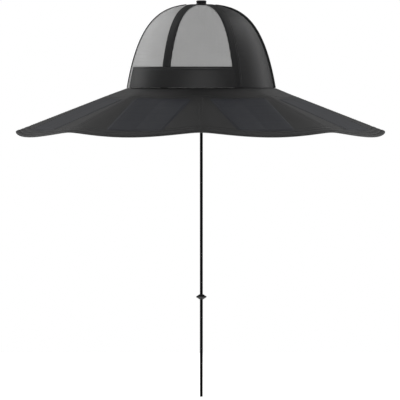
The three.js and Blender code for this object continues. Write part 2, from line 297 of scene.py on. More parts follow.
def smooth_path(points, count):
    """A curve through points, each stretch a cubic whose slopes come from its neighbours."""
    first = 2 * points[:1] - points[1:2]
    last = 2 * points[-1:] - points[-2:-1]
    padded = np.concatenate([first, points, last])
    at = np.linspace(0, len(points) - 1, count)
    base = np.minimum(at.astype(int), len(points) - 2)
    t = (at - base)[:, None]
    before, start, end, after = (padded[base + step] for step in range(4))
    straight = 2 * start + (end - before) * t
    square = 2 * before - 5 * start + 4 * end - after
    cube = 3 * start - before - 3 * end + after
    return 0.5 * (straight + square * t**2 + cube * t**3)


def stitches(path, normals):
    """Short rounded threads along a path: each dips into the cloth at both ends, with a middle that
    stands half out of it."""
    steps = np.linalg.norm(np.diff(path, axis=0), axis=1)
    run = np.concatenate([[0], np.cumsum(steps)])
    middles = np.arange(STITCH_PITCH / 2, run[-1] - STITCH_LENGTH / 2, STITCH_PITCH)
    centre = np.stack([np.interp(middles, run, path[:, i]) for i in range(3)], axis=-1)
    ahead = np.stack([np.interp(middles + STITCH_LENGTH / 4, run, path[:, i]) for i in range(3)], axis=-1)
    normal = np.stack([np.interp(middles, run, normals[:, i]) for i in range(3)], axis=-1)
    along = ahead - centre
    along /= np.linalg.norm(along, axis=1, keepdims=True)
    side = np.cross(along, normal)
    side /= np.linalg.norm(side, axis=1, keepdims=True)
    up = np.cross(side, along)
    share = np.array([-1, -0.82, -0.35, 0.35, 0.82, 1])
    size = np.array([0, 0.7, 1, 1, 0.7, 0]) * STITCH_RADIUS
    turn = np.linspace(0, TURN, 6)
    lift = STITCH_RADIUS * (0.4 - 0.8 * share**2)
    place = centre[:, None] + along[:, None] * (share * STITCH_LENGTH / 2)[None, :, None]
    place = place + up[:, None] * lift[None, :, None]
    ring = side[:, None] * -np.sin(turn)[None, :, None] + up[:, None] * np.cos(turn)[None, :, None]
    points = place[:, :, None] + ring[:, None] * size[None, :, None, None]
    return surfaces(points, np.zeros(points.shape[:-1] + (2,)))


# The crown's surface

HANDLE_RADII = (0, TIP_HANDLE, SHOULDER_RADIUS, CROWN_RADIUS)
HANDLE_HEIGHTS = (
    CROWN_BASE_Z + CROWN_HEIGHT,
    CROWN_BASE_Z + CROWN_HEIGHT,
    CROWN_BASE_Z + SHOULDER_HEIGHT,
    CROWN_BASE_Z,
)


def profile(share):
    """The crown's profile from tip to base, a cubic curve with four handles: radius, height, and the two
    parts of its slope."""
    share = np.asarray(share, float)
    rest = 1 - share
    places = (rest**3, 3 * rest**2 * share, 3 * rest * share**2, share**3)
    slopes = (rest**2, 2 * rest * share, share**2)
    radius, height = (
        sum(weight * handle for weight, handle in zip(places, handles))
        for handles in (HANDLE_RADII, HANDLE_HEIGHTS)
    )
    run, fall = (
        sum(weight * (after - before) for weight, before, after in zip(slopes, handles, handles[1:]))
        for handles in (HANDLE_RADII, HANDLE_HEIGHTS)
    )
    speed = np.hypot(run, fall)
    return radius, height, run / speed, fall / speed


SHARES = np.linspace(0, 1, 1201)
RADII, HEIGHTS = profile(SHARES)[:2]
DOWNS = np.concatenate([[0], np.cumsum(np.hypot(np.diff(RADII), np.diff(HEIGHTS)))])
CAP_DOWN = np.interp(CAP_RADIUS - TUCK, RADII, DOWNS)
BAND_DOWN = np.interp(-CROWN_BASE_Z - BAND_HEIGHT, -HEIGHTS, DOWNS)
FOOT_DOWN = np.interp(-CROWN_BASE_Z - GAP, -HEIGHTS, DOWNS)


def crown(angle, down, offset):
    """A point of the crown: an ellipse in plan at a length down the profile, moved out along the
    profile's normal."""
    angle, down, offset = np.broadcast_arrays(angle, down, offset)
    radius, height, run, fall = profile(np.interp(down, DOWNS, SHARES))
    out = -fall * offset
    x = (radius + out) * np.cos(angle)
    y = (radius * WIDTH_SHARE + out) * np.sin(angle)
    return np.stack([x, y, height + run * offset], axis=-1)


def crown_normal(angle, down):
    """The way out of the crown at a point, one step along its normal made one long."""
    step = crown(angle, down, MM) - crown(angle, down, 0)
    return step / np.linalg.norm(step, axis=-1, keepdims=True)


def turn_speed(angle):
    """How far the plan's ellipse runs for a turn, as a share of its long half."""
    return np.hypot(np.sin(angle), WIDTH_SHARE * np.cos(angle))


def spread(across, seam, down):
    """The angle that a width measured round the crown takes up at a seam."""
    radius = profile(np.interp(down, DOWNS, SHARES))[0]
    return across / (radius * turn_speed(seam))


def is_front(seam):
    """Whether a seam is the one down the middle of the front."""
    return round(np.degrees(seam)) % 360 == 0


def tape_half(seam):
    """Half the width of the tape at a seam."""
    return FRONT_TAPE_HALF if is_front(seam) else TAPE_HALF


def tape_proud(seam):
    """How far the tape at a seam stands out."""
    return FRONT_TAPE_PROUD if is_front(seam) else TAPE_PROUD


def tape_spread(seam, down):
    """The angle that half the tape at a seam takes up. The wide front one narrows near the tip."""
    return np.minimum(spread(tape_half(seam), seam, down), FRONT_TAPE_SPREAD)


def gore_angle(seam, column, down):
    """The angle at a share of the way from one seam's tape to the next one's. A gore is tucked in a
    little under the tapes, as it is sewn, so that no light comes through the seam."""
    end = seam + SEAM_STEP
    first = seam + tape_spread(seam, down) - spread(TUCK, seam, down)
    last = end - tape_spread(end, down) + spread(TUCK, end, down)
    return first + (last - first) * column


def gore_width(seam, down):
    """A gore's width measured round the crown: its angle times the speed at its middle."""
    radius = profile(np.interp(down, DOWNS, SHARES))[0]
    span = gore_angle(seam, 1, down) - gore_angle(seam, 0, down)
    return radius * turn_speed(seam + SEAM_STEP / 2) * span


# Crown pieces


def net_gore(seam):
    """Square net cut flat and laid on a gore. One thread family runs down it and one across. They stand
    one pitch apart, wave over and under each other at every crossing, and end at the tapes. The net at
    the left side is cut half a pitch off the others, so that it shows through the right one's holes."""
    downs = np.arange(CAP_DOWN - 2 * NET_PITCH, FOOT_DOWN + 2 * NET_PITCH, NET_PITCH)
    half_count = int(gore_width(seam, FOOT_DOWN) / 2 / NET_PITCH) + 3
    cut = 0 if seam < 1.5 * SEAM_STEP else 0.5
    acrosses = (np.arange(-half_count, half_count + 1) + cut) * NET_PITCH
    across, down = np.meshgrid(acrosses, downs, indexing="ij")
    wave = NET_WAVE * (1 - 2 * (np.indices(across.shape).sum(axis=0) % 2))
    widths = gore_width(seam, np.maximum(DOWNS, CAP_DOWN))
    start = np.interp(2 * np.abs(across), widths[DOWNS >= CAP_DOWN], DOWNS[DOWNS >= CAP_DOWN])
    start = np.where(2 * np.abs(across) < widths[0], CAP_DOWN, start)
    limit = gore_width(seam, np.clip(down, CAP_DOWN, FOOT_DOWN)) / 2
    inside = (np.abs(across) < limit) & (down > CAP_DOWN) & (down < FOOT_DOWN)
    runs_down = threads(seam, across, np.clip(down, start, FOOT_DOWN), wave, inside, True)
    rows = np.any(inside, axis=0)
    over = np.clip(across, -limit, limit)[:, rows]
    runs_across = threads(seam, over.T, down[:, rows].T, -wave[:, rows].T, inside[:, rows].T, False)
    return [runs_down, runs_across]


def threads(seam, across, down, wave, inside, runs_down):
    """Flat oval tubes through a grid of places, one along each row of the grid. Past its ends a thread's
    ring shrinks to nothing, which closes it."""
    beside = np.pad(inside, ((0, 0), (1, 1)))
    size = (beside[:, :-2] | beside[:, 1:-1] | beside[:, 2:]).astype(float)[..., None]
    turn = np.linspace(0, TURN, 5)
    sideways = NET_THREAD_HALF * np.sin(turn) * size
    lift = NET_THREAD_FLAT * np.cos(turn) * size + wave[..., None] + NET_DEPTH
    place_across = across[..., None] + sideways * runs_down
    place_down = down[..., None] - sideways * (1 - runs_down)
    column = 0.5 + place_across / gore_width(seam, np.clip(place_down, CAP_DOWN, FOOT_DOWN))
    points = crown(gore_angle(seam, column, place_down), place_down, lift)
    return surfaces(points, np.stack([place_across, place_down], axis=-1))


def cloth_gore(seam):
    """A woven gore: a half sine fuller along its middle, with small puckers beside each tape that fade
    into it, and edges that dip under the tapes on a quarter circle."""
    downs = np.linspace(CAP_DOWN, FOOT_DOWN, 110)[:, None]
    columns = bunched(np.linspace(0, 1, 73), 0.55)
    width = gore_width(seam, downs)
    relief = CLOTH_FULLNESS * np.sin(np.pi * columns) * smooth_step(width, 0, CLOTH_FULL_WIDTH)
    for side, distance in enumerate((columns * width, (1 - columns) * width)):
        drift = PUCKER_DRIFT * np.sin(downs / PUCKER_DRIFT_RUN + 2 * side)
        bend = PUCKER_BEND * np.sin(distance / PUCKER_BEND_RUN)
        ripple = np.sin(TURN * downs / PUCKER_PITCH + drift + bend)
        relief = relief + PUCKER * ripple * np.exp(-distance / PUCKER_REACH)
        relief = relief - CLOTH_EDGE_DIP * (1 - edge_round(distance, CLOTH_EDGE_ROUND))
    angle = gore_angle(seam, columns, downs)
    uv = np.stack([(columns - 0.5) * width, np.broadcast_to(downs, angle.shape)], axis=-1)
    return shell(crown(angle, downs, relief), crown(angle, downs, -CLOTH_WALL), uv)


def tape(seam, under_band):
    """A crowned ribbon over a seam: a flat oval section with two stitched grooves, carried down the
    profile. Under a band it lies flush."""
    downs = np.linspace(CAP_DOWN, FOOT_DOWN, 90)
    if under_band:
        downs = np.sort(np.append(downs, BAND_DOWN - TAPE_DIVE * np.linspace(0, 1, 4)))
    downs = downs[:, None]
    share = np.sin(np.pi / 2 * np.linspace(-1, 1, 61))
    width = tape_half(seam)
    half_angle = tape_spread(seam, downs)
    from_edge = (1 - np.abs(share)) * width * half_angle / spread(width, seam, downs)
    round_edge = np.sqrt(1 - (1 - np.clip(from_edge / TAPE_EDGE_ROUND, 0, 1)) ** TAPE_SQUARENESS)
    dents = groove(from_edge, TAPE_GROOVE, TAPE_GROOVE_DEPTH, TAPE_GROOVE_WIDTH)
    dents = dents * smooth_step(from_edge, 0, MM)
    proud = tape_proud(seam)
    if under_band:
        proud = TAPE_PROUD * (1 - smooth_step(downs, BAND_DOWN - TAPE_DIVE, BAND_DOWN))
        dents = dents * proud / TAPE_PROUD
    middle = (proud - CLOTH_WALL) / 2
    half = (proud + CLOTH_WALL) / 2
    over = middle + half * round_edge + dents
    under = middle - half * round_edge
    lift = np.concatenate([over, under[:, ::-1], over[:, :1]], axis=1)
    loop = np.concatenate([share, share[::-1], share[:1]])
    return sweep(crown(seam + half_angle * loop, downs, lift), grid_uv(width * loop, downs[:, 0]))


def tape_stitches(seam, under_band):
    """A stitch row in each of a tape's two grooves, which ends above the band where one covers it."""
    end = BAND_DOWN if under_band else FOOT_DOWN
    downs = np.linspace(CAP_DOWN + MM, end - MM, 160)
    rows = []
    for side in (-1, 1):
        angle = seam + side * (tape_spread(seam, downs) - spread(TAPE_GROOVE, seam, downs))
        path = crown(angle, downs, tape_proud(seam) - TAPE_STITCH_SINK)
        rows.append(stitches(path, crown_normal(angle, downs)))
    return rows


BAND_LENGTH = CROWN_RADIUS * turn_speed((SEAM_STEP + BAND_END) / 2) * (BAND_END - SEAM_STEP)


def band(sign):
    """The cloth band on the net: a thin wall with a folded top edge and rear end, and a stitched groove
    along both. The right one is the left one mirrored."""
    drops = fine_lines(FOOT_DOWN - BAND_DOWN, 16, [MM, BAND_GROOVE])[:, None]
    downs = BAND_DOWN + drops
    start = SEAM_STEP + spread(TAPE_HALF - TUCK, SEAM_STEP, downs)
    lines = fine_lines(BAND_LENGTH, 90, [BAND_LENGTH - MM, BAND_LENGTH - BAND_GROOVE]) / BAND_LENGTH
    angle = start + (BAND_END - start) * lines
    from_end = (1 - lines) * BAND_LENGTH
    edge = edge_round(drops, BAND_EDGE_ROUND) * edge_round(from_end, BAND_EDGE_ROUND)
    dents = groove(drops, BAND_GROOVE, BAND_GROOVE_DEPTH) + groove(from_end, BAND_GROOVE, BAND_GROOVE_DEPTH)
    along = np.broadcast_to(lines * BAND_LENGTH, angle.shape)
    waver = BAND_WAVER * np.sin(along / BAND_WAVER_RUN)
    waver = waver * smooth_step(drops, BAND_WAVER_START, BAND_WAVER_FULL)
    middle = GAP + BAND_WALL / 2
    outer = crown(angle, downs, middle + BAND_WALL / 2 * edge + dents + waver)
    inner = crown(angle, downs, middle - BAND_WALL / 2 * edge)
    uv = np.stack([along, np.broadcast_to(downs, angle.shape)], axis=-1)
    if sign < 0:
        outer = outer[:, ::-1] * (1, -1, 1)
        inner = inner[:, ::-1] * (1, -1, 1)
        uv = uv[:, ::-1] * (1, -1)
    return shell(outer, inner, uv)


def band_stitches(sign):
    """A stitch row along a band's upper groove and one down the groove by its rear end."""
    down = BAND_DOWN + BAND_GROOVE
    last = BAND_END - BAND_GROOVE / BAND_LENGTH * (BAND_END - SEAM_STEP)
    start = SEAM_STEP + spread(TAPE_HALF + MM, SEAM_STEP, down)
    angle = sign * np.linspace(start, last, 200)
    lift = GAP + BAND_WALL - STITCH_SINK
    upper = stitches(crown(angle, down, lift), crown_normal(angle, down))
    downs = np.linspace(down, FOOT_DOWN - MM, 60)
    rear = stitches(crown(sign * last, downs, lift), crown_normal(sign * last, downs))
    return [upper, rear]


def cap():
    """The round patch at the tip: the profile turned round, with a rounded edge and faint gathers that
    run in to the button."""
    angle = np.linspace(0, TURN, 145)
    end = np.interp(CAP_RADIUS, RADII, DOWNS)
    downs = (end * np.sin(np.pi / 2 * np.linspace(0, 1, 26)))[:, None]
    gathers = CAP_GATHER * np.sin(CAP_GATHERS * angle) * np.sin(np.pi * downs / end) ** 2
    edge = CLOTH_WALL / 2 * edge_round(end - downs, CAP_EDGE_ROUND)
    outer = crown(angle, downs, gathers - CLOTH_WALL / 2 + edge)
    inner = crown(angle, downs, -CLOTH_WALL / 2 - edge)
    radius = np.broadcast_to(downs, (len(downs), len(angle)))
    uv = np.stack([radius * np.cos(angle), radius * np.sin(angle)], axis=-1)
    return ring_shell(outer, inner, uv)


# The button's outline: a share of its radius and one of its height, from the top's middle to the foot's
BUTTON_OUTLINE = np.array([
    [0, 1],
    [0.5, 0.995],
    [0.84, 0.955],
    [0.98, 0.82],
    [1, 0.6],
    [0.935, 0.28],
    [0.95, 0.12],
    [1.01, 0.02],
    [1.01, -0.05],
    [0, -0.05],
])


def button():
    """A cloth-covered button: a flared foot, a slight waist and a domed top, with gathers at the foot."""
    path = smooth_path(BUTTON_OUTLINE[:-1], 60)
    path[:, 0] = np.maximum(path[:, 0], 0)
    path = np.concatenate([path, BUTTON_OUTLINE[-1:]])
    out = path[:, :1]
    up = path[:, 1:]
    angle = np.linspace(0, TURN, 97)
    gathers = BUTTON_GATHER * np.cos(BUTTON_GATHERS * angle) * (1 - smooth_step(up, 0.2, 0.6))
    radius = BUTTON_RADIUS * out * (1 + gathers)
    height = np.broadcast_to(CROWN_BASE_Z + CROWN_HEIGHT + GAP + BUTTON_HEIGHT * up, radius.shape)
    points = np.stack([radius * np.cos(angle), radius * np.sin(angle), height], axis=-1)
    steps = np.linalg.norm(np.diff(path, axis=0, prepend=path[:1]), axis=1)
    return surface(points, grid_uv(angle * BUTTON_RADIUS, np.cumsum(steps) * BUTTON_RADIUS))


# The brim's surface


def sag_between_ridges(angle):
    """0 on a ridge and 1 midway between two: a sine's size, with its sharp foot softened."""
    wave = np.hypot(np.sin(RIDGES / 2 * angle), RIDGE_SOFTNESS)
    return (wave - RIDGE_SOFTNESS) / (np.hypot(1, RIDGE_SOFTNESS) - RIDGE_SOFTNESS)


def set_back(share):
    """How far the brim is set back: nothing at the crown, all of it past the plain ring."""
    return BRIM_SHIFT * smooth_step(share, 0, RING_SHARE)


def brim(angle, reach, offset):
    """A point of the brim's upper side at a distance in plan from the crown: ellipses that grow evenly,
    on straight ridges, with flat stretches that hang a little between them."""
    angle, reach, offset = np.broadcast_arrays(angle, reach, offset)
    length = CROWN_RADIUS + reach
    width = CROWN_RADIUS * WIDTH_SHARE + reach
    share = reach / BRIM_REACH
    hang = BRIM_DIP * length / (CROWN_RADIUS + BRIM_REACH) * smooth_step(share, 0, RING_SHARE)
    fall = BRIM_DROP * np.maximum(share, 0) + hang * sag_between_ridges(angle)
    x = length * np.cos(angle) - set_back(share)
    return np.stack([x, width * np.sin(angle), CROWN_BASE_Z - fall + offset], axis=-1)


def brim_over(x, y, offset):
    """The brim point above a place in plan, found by stepping the reach until its ellipse passes there."""
    reach = np.full(np.shape(x), BRIM_REACH / 2)
    for _ in range(PLACING_STEPS):
        length = CROWN_RADIUS + reach
        width = CROWN_RADIUS * WIDTH_SHARE + reach
        middle_x = x + set_back(reach / BRIM_REACH)
        angle = np.arctan2(y / width, middle_x / length)
        reach = reach + (np.hypot(middle_x / length, y / width) - 1) * length
    return np.stack([x, y, brim(angle, reach, offset)[..., 2]], axis=-1)


def brim_normal(angle, reach):
    """Upwards, square to the brim: outwards crossed with anticlockwise."""
    out = brim(angle, reach + MM, 0) - brim(angle, reach - MM, 0)
    round_it = brim(angle + 0.002, reach, 0) - brim(angle - 0.002, reach, 0)
    normal = np.cross(out, round_it)
    return normal / np.linalg.norm(normal, axis=-1, keepdims=True)


RING_EDGE = RING_SHARE * BRIM_REACH
HEM_END = BRIM_REACH + GAP + BINDING_WIDTH
AROUND = bunched(np.linspace(0, RIDGES, RIDGES * 72 + 1), 0.62) * TURN / RIDGES


def brim_cloth():
    """The brim's cloth: the brim surface with a stitched seam round the plain ring, a felled seam down
    each ridge and two stitched grooves by the hem, between which the cloth pillows a little."""
    grooves = [HEM_END - place for place in HEM_GROOVES]
    reaches = fine_lines(BRIM_REACH, 34, [1.2 * MM, RING_EDGE, *grooves, BRIM_REACH - MM])
    reaches = np.concatenate([[-BRIM_LIP], reaches])[:, None]
    from_edge = HEM_END - reaches
    relief = groove(reaches, RING_EDGE, RING_GROOVE_DEPTH)
    for place in HEM_GROOVES:
        relief = relief + groove(from_edge, place, HEM_GROOVE_DEPTH, HEM_GROOVE_WIDTH)
    between = HEM_GROOVES[1] - HEM_GROOVES[0]
    pillow = HEM_PILLOW * np.abs(np.sin(np.pi * (from_edge - BINDING_WIDTH) / between))
    relief = relief + pillow * (from_edge < HEM_GROOVES[-1])
    relief = relief - HEM_EDGE_DIP * (1 - edge_round(BRIM_REACH - reaches, HEM_EDGE_ROUND))
    round_turn = (CROWN_RADIUS + reaches) * turn_speed(AROUND)
    from_ridge = np.abs((AROUND * RIDGES / TURN + 0.5) % 1 - 0.5) * TURN / RIDGES * round_turn
    on_ridge = smooth_step(reaches, RING_EDGE, RING_EDGE + RIDGE_FADE)
    ridge = groove(from_ridge, RIDGE_STITCH, RIDGE_GROOVE_DEPTH, RIDGE_GROOVE_WIDTH)
    outer = brim(AROUND, reaches, relief + ridge * on_ridge)
    inner = brim(AROUND, reaches, -BRIM_WALL)
    return ring_shell(outer, inner, outer[..., :2])


def hem_binding():
    """The bound edge: a flat ring of rounded section, folded round the cloth's edge, which reaches in
    over that edge a little, so that no light comes through the seam."""
    share = np.sin(np.pi / 2 * np.linspace(-1, 1, 15))[:, None]
    start = BRIM_REACH - TUCK
    reaches = start + (HEM_END - start) * (share + 1) / 2
    half = BINDING_HEIGHT / 2 * np.sqrt(1 - np.abs(share) ** BINDING_SQUARENESS)
    middle = -BRIM_WALL / 2
    uv = grid_uv(AROUND * (CROWN_RADIUS + BRIM_REACH), reaches[:, 0])
    return ring_shell(brim(AROUND, reaches, middle + half), brim(AROUND, reaches, middle - half), uv)


def round_stitches(reach, lift):
    """A stitch row the whole way round the brim at one reach."""
    angle = np.linspace(0, TURN, 1441)
    return stitches(brim(angle, reach, lift), brim_normal(angle, reach))


def brim_stitches():
    """Stitch rows in the hem's grooves and round the plain ring's edge."""
    grooves = [HEM_END - place for place in HEM_GROOVES]
    return [round_stitches(reach, -STITCH_SINK) for reach in [*grooves, RING_EDGE]]


def binding_stitches():
    """One stitch row near the binding's inner edge."""
    return [round_stitches(BRIM_REACH + GAP + BINDING_STITCH, BINDING_STITCH_LIFT)]


def ridge_stitches():
    """Two stitch rows down each ridge, from the plain ring to the hem."""
    start = RING_EDGE + RIDGE_START
    reaches = np.linspace(start, HEM_END - HEM_GROOVES[-1] - 2 * MM, 120)
    rows = []
    for ridge in np.arange(RIDGES) * TURN / RIDGES:
        for side in (-1, 1):
            angle = ridge + side * RIDGE_STITCH / ((CROWN_RADIUS + reaches) * turn_speed(ridge))
            rows.append(stitches(brim(angle, reaches, -RIDGE_STITCH_SINK), brim_normal(angle, reaches)))
    return rows


def cell_size(length, count):
    """The length of a cell: a laminate's, less its margins and gaps, shared out evenly."""
    return (length - 2 * CELL_MARGIN - (count - 1) * CELL_GAP) / count


def panel_lines(length, count):
    """Lines across a laminate: close on the ramps and corners at its two ends, and at the foot and top
    of each cell's bevel."""
    cell = cell_size(length, count)
    starts = CELL_MARGIN + np.arange(count)[:, None] * (cell + CELL_GAP)
    flat = np.linspace(CELL_BEVEL, cell - CELL_BEVEL, 5)
    inner = starts + np.concatenate([[0], flat, [cell]])
    ends = LAMINATE_RAMP * np.linspace(0, 1, 9)
    corner = PANEL_CORNER * np.linspace(0.5, 1, 4)
    lines = np.concatenate([ends, corner, inner.reshape(-1), length - ends, length - corner])
    return np.unique(np.round(lines, 6))


def cell_rise(place, length, count):
    """1 on a cell and 0 beside it, with a straight bevel."""
    cell = cell_size(length, count)
    along = (place - CELL_MARGIN) % (cell + CELL_GAP)
    ramp = np.minimum(along, cell - along) / CELL_BEVEL
    within = (place > CELL_MARGIN - MM / 10) & (place < length - CELL_MARGIN + MM / 10)
    return np.clip(ramp, 0, 1) * within


def panel_frame(middle):
    """Where a panel's inner end is in plan, and which way it runs."""
    inner = brim(middle, PANEL_START, 0)[:2]
    along = brim(middle, BRIM_REACH, 0)[:2] - inner
    along /= np.linalg.norm(along)
    return inner, along, np.array([-along[1], along[0]])


def on_panel(middle, across, down, offset):
    """The brim point over a place on a panel: so far down it and so far across, measured in plan."""
    inner, along, side = panel_frame(middle)
    place = inner + along * down[..., None] + side * across[..., None]
    return brim_over(place[..., 0], place[..., 1], offset)


def solar_panel(middle):
    """A thin laminate with round corners bedded on the brim, with raised cells. Its upper face thins out
    to its lower one along a soft ramp at its edge."""
    down = panel_lines(PANEL_LENGTH, CELLS_ALONG)[:, None]
    line = panel_lines(PANEL_WIDTH, CELLS_ACROSS)
    from_end = np.minimum(down, PANEL_LENGTH - down)
    inset = np.clip(PANEL_CORNER - from_end, 0, PANEL_CORNER)
    width = PANEL_WIDTH - 2 * (PANEL_CORNER - np.sqrt(PANEL_CORNER**2 - inset**2))
    across = (line / PANEL_WIDTH - 0.5) * width
    from_side = width / 2 - np.abs(across)
    edge = smooth_step(from_side, 0, LAMINATE_RAMP) * smooth_step(from_end, 0, LAMINATE_RAMP)
    cells = cell_rise(line, PANEL_WIDTH, CELLS_ACROSS) * cell_rise(down, PANEL_LENGTH, CELLS_ALONG)
    lift = LAMINATE_BED + LAMINATE_RISE * edge + CELL_RISE * cells
    down = np.broadcast_to(down, across.shape)
    upper = on_panel(middle, across, down, lift)
    lower = on_panel(middle, across, down, LAMINATE_BED)
    return shell(upper, lower, np.stack([across, down], axis=-1))


def panel_stitches(middle):
    """One stitch row just inside the laminate's edge, round all four sides, with its corners on quarter
    circles."""
    half = PANEL_WIDTH / 2 - PANEL_STITCH
    far = PANEL_LENGTH - PANEL_STITCH
    bend = PANEL_CORNER - PANEL_STITCH
    quarter = np.linspace(0, np.pi / 2, 6)
    corners = (
        (half - bend, PANEL_STITCH + bend, -np.pi / 2),
        (half - bend, far - bend, 0),
        (bend - half, far - bend, np.pi / 2),
        (bend - half, PANEL_STITCH + bend, np.pi),
    )
    turns = [
        (x, y) + bend * np.stack([np.cos(start + quarter), np.sin(start + quarter)], axis=-1)
        for x, y, start in corners
    ]
    outline = np.concatenate([*turns, turns[0][:1]])
    steps = np.linspace(0, len(outline) - 1, 40 * len(outline))
    across, down = (np.interp(steps, np.arange(len(outline)), line) for line in outline.T)
    edge = smooth_step(PANEL_STITCH, 0, LAMINATE_RAMP)
    path = on_panel(middle, across, down, LAMINATE_BED + LAMINATE_RISE * edge)
    normal = np.broadcast_to(brim_normal(middle, BRIM_REACH / 2), path.shape)
    return [stitches(path, normal)]


# Stand pieces


def pole(low, high):
    """A drawn rod whose two ends are softened by quarter circles."""
    bend = np.linspace(0, np.pi / 2, 5)
    rise = POLE_SOFTNESS * np.sin(bend)
    rest = POLE_SOFTNESS * np.cos(bend)
    core = POLE_RADIUS - POLE_SOFTNESS
    radii = [0, *(core + rise), *(core + rest), 0]
    heights = [high, *(high - POLE_SOFTNESS + rest), *(low + POLE_SOFTNESS - rise), low]
    return [lathe(radii, heights, 48)]


def lock_ring():
    """The ring that locks the pole: a collar with a wide rim that tapers up and down, its corners
    rounded by a run of short chords, and with fine knurls round the rim."""
    top = LOCK_HEIGHT / 2
    half = [
        (POLE_RADIUS + GAP, top),
        (LOCK_COLLAR_RADIUS, top),
        (LOCK_COLLAR_RADIUS, LOCK_SHOULDER_HEIGHT / 2),
        (LOCK_RIM_RADIUS, LOCK_RIM_HEIGHT / 2),
    ]
    corners = np.array(half + [(radius, -height) for radius, height in half[::-1]])
    path = soft_corners(corners, LOCK_SOFTNESS)
    radii, heights = np.concatenate([path, path[:1]]).T
    points, faces, uv = lathe(radii, LOCK_MIDDLE_Z + heights, 8 * KNURLS)
    angle = np.arctan2(points[:, 1], points[:, 0])
    radius = np.hypot(points[:, 0], points[:, 1])
    knurls = KNURL_DEPTH * (0.5 - 0.5 * np.cos(KNURLS * angle))
    lean = 1 - knurls * smooth_step(radius, 0.8 * LOCK_RIM_RADIUS, LOCK_RIM_RADIUS) / radius
    return [(points * np.stack([lean, lean, np.ones(len(lean))], axis=-1), faces, uv)]


def soft_corners(corners, radius):
    """A closed outline's corners cut back by a radius, or by 0.4 of a side shorter than that allows, each
    replaced by a quadratic curve."""
    cuts = []
    for step in (1, -1):
        side = np.roll(corners, step, axis=0) - corners
        size = np.linalg.norm(side, axis=1, keepdims=True)
        cuts.append(side * np.minimum(radius / size, 0.4))
    t = np.linspace(0, 1, 6)[:, None]
    curves = corners[:, None] + cuts[0][:, None] * (1 - t) ** 2 + cuts[1][:, None] * t**2
    return curves.reshape(-1, 2)


# Materials

CLOTH_PATCH = 71.4 * MM
MOULDED_PATCH = 16.7 * MM
LAMINATE_PATCH = 50 * MM


def linear(hex_colour):
    """An sRGB hex colour as the linear numbers that a shader takes."""
    parts = np.array([int(hex_colour[at : at + 2], 16) / 255 for at in (1, 3, 5)])
    parts = np.where(parts <= 0.04045, parts / 12.92, ((parts + 0.055) / 1.055) ** 2.4)
    return (*parts.tolist(), 1)


def add(tree, kind, inputs=None, **settings):
    """Adds a node, sets its properties, and fills its inputs with values or with other nodes' outputs."""
    made = tree.nodes.new(kind)
    for name, value in settings.items():
        setattr(made, name, value)
    for name, value in (inputs or {}).items():
        if isinstance(value, bpy.types.NodeSocket):
            tree.links.new(value, made.inputs[name])
        else:
            made.inputs[name].default_value = value
    return made


def new_material(name, **sockets):
    """A material with one principled shader, whose uniform values sit on its own sockets."""
    material = bpy.data.materials.new(name)
    material.use_nodes = True
    shader = material.node_tree.nodes["Principled BSDF"]
    for socket, value in sockets.items():
        shader.inputs[socket.replace("_", " ")].default_value = value
    return material, material.node_tree, shader


def mottled(tree, colour, patch, drift):
    """A colour whose brightness drifts up and down in soft patches of noise, in object space."""
    place = add(tree, "ShaderNodeTexCoord").outputs["Object"]
    noise = add(tree, "ShaderNodeTexNoise", {"Vector": place, "Scale": 1 / patch, "Detail": 3})
    range_of_tone = {"Value": noise.outputs["Fac"], "To Min": 1 - drift, "To Max": 1 + drift}
    level = add(tree, "ShaderNodeMapRange", range_of_tone)
    shade = add(tree, "ShaderNodeHueSaturation", {"Color": colour, "Value": level.outputs["Result"]})
    return shade.outputs["Color"]


def weave_height(tree, pitch_across, pitch_down):
    """Plain weave: the product of a sine across and a sine down, whose size is the bulge of the thread
    on top and whose sign says which family that is."""
    place = add(tree, "ShaderNodeUVMap", uv_map="Surface").outputs["UV"]
    parts = add(tree, "ShaderNodeSeparateXYZ", {"Vector": place}).outputs
    waves = []
    for axis, pitch in (("X", pitch_across), ("Y", pitch_down)):
        turned = add(tree, "ShaderNodeMath", {0: parts[axis], 1: np.pi / pitch}, operation="MULTIPLY")
        waves.append(add(tree, "ShaderNodeMath", {0: turned.outputs[0]}, operation="SINE").outputs[0])
    return add(tree, "ShaderNodeMath", {0: waves[0], 1: waves[1]}, operation="MULTIPLY").outputs[0]


def woven(name, colour, across, down, valley_shade, bump, **sockets):
    """Woven cloth with its thread pitch across and down: painted shade makes the weave's valleys darker and
    the threads' tops lighter, and the same weave is also its bump."""
    material, tree, shader = new_material(name, **sockets)
    weave = weave_height(tree, across, down)
    bulge = add(tree, "ShaderNodeMath", {0: weave}, operation="ABSOLUTE").outputs[0]
    # Painted shade: the tone drops by valley_shade in the weave's valleys and rises by it on the threads'
    # tops.
    range_of_tone = {"Value": bulge, "To Min": 1 - valley_shade, "To Max": 1 + valley_shade}
    level = add(tree, "ShaderNodeMapRange", range_of_tone)
    base = mottled(tree, linear(colour), CLOTH_PATCH, 0.07)
    tone = add(tree, "ShaderNodeHueSaturation", {"Color": base, "Value": level.outputs["Result"]})
    tree.links.new(tone.outputs["Color"], shader.inputs["Base Color"])
    relief = add(tree, "ShaderNodeBump", {"Height": bulge, "Distance": bump, "Strength": 0.6})
    tree.links.new(relief.outputs["Normal"], shader.inputs["Normal"])
    return material


def moulded(name, colour, grain, bump, **sockets):
    """Moulded or coated surface: one colour that drifts slightly, with a fine pebbled grain as bump."""
    material, tree, shader = new_material(name, **sockets)
    tree.links.new(mottled(tree, linear(colour), MOULDED_PATCH, 0.08), shader.inputs["Base Color"])
    place = add(tree, "ShaderNodeTexCoord").outputs["Object"]
    pebbles = add(tree, "ShaderNodeTexNoise", {"Vector": place, "Scale": 1 / grain, "Detail": 2})
    height = pebbles.outputs["Fac"]
    relief = add(tree, "ShaderNodeBump", {"Height": height, "Distance": bump, "Strength": 0.5})
    tree.links.new(relief.outputs["Normal"], shader.inputs["Normal"])
    return material


